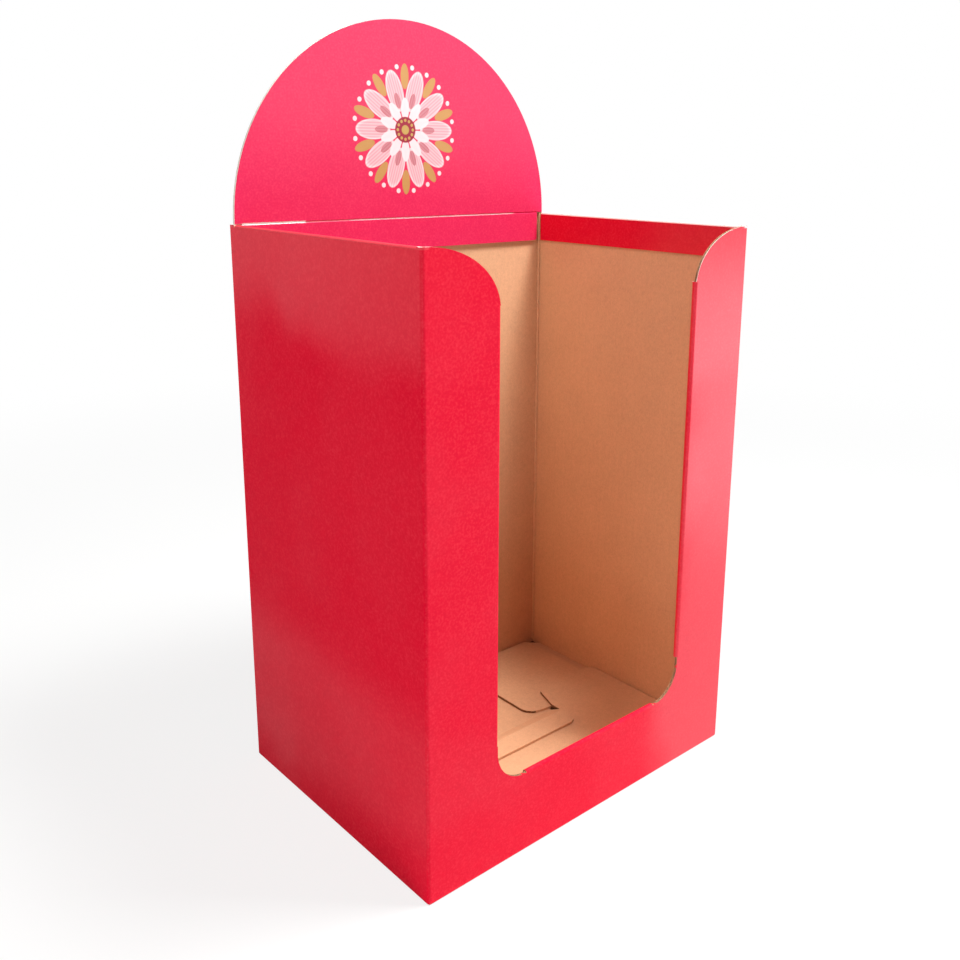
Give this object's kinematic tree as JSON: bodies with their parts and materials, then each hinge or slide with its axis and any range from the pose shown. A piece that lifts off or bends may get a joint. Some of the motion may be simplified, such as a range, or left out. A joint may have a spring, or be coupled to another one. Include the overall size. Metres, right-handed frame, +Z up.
{
  "type": "cardboard display stand",
  "caption": "Free-standing corrugated board display box, open at the top, with a tall window in its front and an arched header card at the back.",
  "frame": {"origin": "middle of the footprint, on the floor that the stand rests on", "axes": "+Z up, +X to the right and -Y out of the front window, as a shopper sees it"},
  "size_m": [0.43, 0.32, 0.8133],
  "materials": {
    "printed_board": "gloss film over red print outside, bare brown kraft inside, cream cut edges",
    "printed_card": "satin film over pinkish red print in front, bare kraft behind, cream cut edges"
  },
  "bodies": {
    "root": {"display_body": "printed_board", "header_card": "printed_card"}
  },
  "joints": []
}
